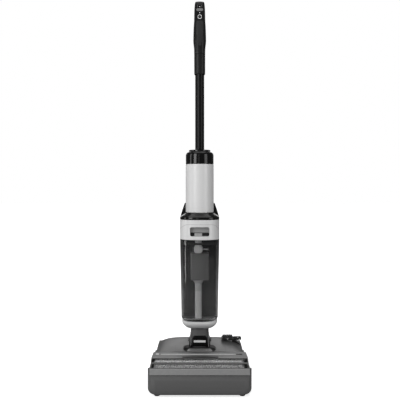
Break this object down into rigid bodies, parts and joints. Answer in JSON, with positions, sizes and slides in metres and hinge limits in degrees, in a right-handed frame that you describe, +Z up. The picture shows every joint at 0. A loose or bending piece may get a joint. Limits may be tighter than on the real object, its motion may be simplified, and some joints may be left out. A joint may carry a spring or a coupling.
{
  "type": "wet dry floor scrubber",
  "caption": "Upright cordless wet and dry floor washer with roller head, smoked dirty water tank and slim pole handle, parked on a low charging and cleaning dock.",
  "frame": {"origin": "on the floor, at the middle of the dock's footprint", "axes": "+Z up, front of the machine towards -Y, +X to the right of someone who faces the front"},
  "size_m": [0.28, 0.3, 1.1182],
  "materials": {
    "dock_plastic": "moulded dark grey with fine texture",
    "dock_lip": "satin mid grey",
    "black_plastic": "satin black",
    "rubber": "matt black rubber",
    "wheel_tread": "matt dark rubber over a plastic hub",
    "head_plastic": "semi-gloss dark grey",
    "window_clear": "clear moulded plastic",
    "grey_plastic": "light grey moulded plastic",
    "filter_grey": "dark grey moulded plastic",
    "roller_pile": "mottled grey microfibre pile",
    "motor_steel": "plain steel",
    "white_plastic": "satin white",
    "black_gloss": "polished black",
    "smoked_clear": "smoked clear plastic",
    "black_pole": "black anodised tube"
  },
  "bodies": {
    "dock": {"dock_shell": "dock_plastic", "dock_front_lip": "dock_lip", "dock_base_plate": "black_plastic", "dock_foot_front_left": "rubber", "dock_foot_front_right": "rubber", "dock_foot_rear_left": "rubber", "dock_foot_rear_right": "rubber", "dock_charge_post": "black_plastic", "dock_power_inlet": "black_plastic"},
    "floor_head": {"head_chassis": "head_plastic", "head_top_cover": "head_plastic", "suction_duct": "black_plastic", "wiper_blade": "rubber", "spray_bar": "black_plastic", "roller_motor": "motor_steel", "drive_belt": "rubber", "belt_cover": "black_plastic"},
    "wheel_left": {"rear_wheel_left": "wheel_tread"},
    "wheel_right": {"rear_wheel_right": "wheel_tread"},
    "roller": {"roller_core": "black_plastic", "roller_fabric": "roller_pile", "roller_end_cap": "grey_plastic", "roller_drive_hub": "grey_plastic"},
    "drive_pulley": {"motor_pulley": "motor_steel"},
    "roller_hood": {"roller_cover": "head_plastic", "roller_window": "window_clear"},
    "latch_left": {"cover_latch_left": "grey_plastic"},
    "latch_right": {"cover_latch_right": "grey_plastic"},
    "brush_tool": {"cleaning_tool": "black_plastic", "tool_bristles": "grey_plastic"},
    "neck": {"neck_yoke": "black_plastic", "suction_hose": "rubber"},
    "main_body": {"base_cup": "white_plastic", "rear_spine": "black_plastic", "water_pump": "black_plastic", "shoulder": "black_gloss", "motor_tube": "white_plastic", "top_cap": "black_gloss", "suction_motor": "motor_steel", "battery_pack": "black_plastic"},
    "fan": {"impeller": "grey_plastic"},
    "pole_button": {"pole_release": "black_plastic"},
    "dirty_tank": {"tank_shell": "smoked_clear", "tank_lid": "white_plastic", "lid_seal": "rubber", "filter_box": "filter_grey", "suction_tube": "grey_plastic"},
    "float": {"tank_float": "grey_plastic"},
    "tank_button": {"tank_release": "grey_plastic"},
    "clean_tank": {"clean_tank": "smoked_clear"},
    "clean_cap": {"fill_cap": "rubber"},
    "handle": {"handle_pole": "black_pole", "handle_sleeve": "black_plastic", "handle_front": "black_plastic", "handle_rear": "black_plastic", "control_panel": "black_gloss", "grip_insert": "black_plastic", "handle_board": "black_plastic"},
    "power_key": {"power_button": "grey_plastic"},
    "mode_key": {"mode_button": "grey_plastic"}
  },
  "joints": [
    {"name": "lift_off_dock", "type": "slide", "parent": "dock", "child": "floor_head", "axis": [0, 0, 1], "range_m": [0, 0.12]},
    {"name": "wheel_left_spin", "type": "hinge", "parent": "floor_head", "child": "wheel_left", "pos_m": [-0.062, 0.086, 0.0603], "axis": [1, 0, 0], "continuous": true},
    {"name": "wheel_right_spin", "type": "hinge", "parent": "floor_head", "child": "wheel_right", "pos_m": [0.062, 0.086, 0.0603], "axis": [1, 0, 0], "continuous": true},
    {"name": "roller_spin", "type": "hinge", "parent": "floor_head", "child": "roller", "pos_m": [0, -0.107, 0.064], "axis": [1, 0, 0], "continuous": true},
    {"name": "drive_pulley_spin", "type": "hinge", "parent": "floor_head", "child": "drive_pulley", "pos_m": [0, -0.03, 0.062], "axis": [1, 0, 0], "continuous": true},
    {"name": "roller_cover_lift", "type": "slide", "parent": "floor_head", "child": "roller_hood", "axis": [0, 0, 1], "range_m": [0, 0.06]},
    {"name": "cover_latch_left_press", "type": "slide", "parent": "roller_hood", "child": "latch_left", "axis": [0, 0, -1], "range_m": [0, 0.0015], "stiffness_N_per_m": 600},
    {"name": "cover_latch_right_press", "type": "slide", "parent": "roller_hood", "child": "latch_right", "axis": [0, 0, -1], "range_m": [0, 0.0015], "stiffness_N_per_m": 600},
    {"name": "cleaning_tool_lift", "type": "slide", "parent": "floor_head", "child": "brush_tool", "axis": [0, 0, 1], "range_m": [0, 0.06]},
    {"name": "recline", "type": "hinge", "parent": "floor_head", "child": "neck", "pos_m": [0, 0.054, 0.074], "axis": [-1, 0, 0], "range_deg": [0, 65]},
    {"name": "swivel", "type": "hinge", "parent": "neck", "child": "main_body", "pos_m": [0, 0.04, 0.1375], "axis": [0, 0, 1], "range_deg": [-35, 35]},
    {"name": "dirty_tank_pull", "type": "slide", "parent": "main_body", "child": "dirty_tank", "axis": [0, -1, 0], "range_m": [0, 0.12]},
    {"name": "tank_release_press", "type": "slide", "parent": "dirty_tank", "child": "tank_button", "axis": [0, 0, -1], "range_m": [0, 0.003], "stiffness_N_per_m": 600},
    {"name": "float_rise", "type": "slide", "parent": "dirty_tank", "child": "float", "axis": [0, 0, 1], "range_m": [0, 0.008]},
    {"name": "clean_tank_pull", "type": "slide", "parent": "main_body", "child": "clean_tank", "axis": [0, 1, 0], "range_m": [0, 0.1]},
    {"name": "fill_cap_open", "type": "hinge", "parent": "clean_tank", "child": "clean_cap", "pos_m": [0, 0.1227, 0.4105], "axis": [-1, 0, 0], "range_deg": [0, 110]},
    {"name": "fan_spin", "type": "hinge", "parent": "main_body", "child": "fan", "pos_m": [0, 0.04, 0.4957], "axis": [0, 0, 1], "continuous": true},
    {"name": "handle_lift_off", "type": "slide", "parent": "main_body", "child": "handle", "axis": [0, 0, 1], "range_m": [0, 0.08]},
    {"name": "pole_release_press", "type": "slide", "parent": "main_body", "child": "pole_button", "axis": [0, -1, 0], "range_m": [0, 0.0015], "stiffness_N_per_m": 600},
    {"name": "power_press", "type": "slide", "parent": "handle", "child": "power_key", "axis": [0, 1, 0], "range_m": [0, 0.0012], "stiffness_N_per_m": 600},
    {"name": "mode_press", "type": "slide", "parent": "handle", "child": "mode_key", "axis": [0, 1, 0], "range_m": [0, 0.0012], "stiffness_N_per_m": 600}
  ],
  "couplings": [
    {"joint": "drive_pulley_spin", "follows": "roller_spin", "ratio": 1.8462}
  ]
}
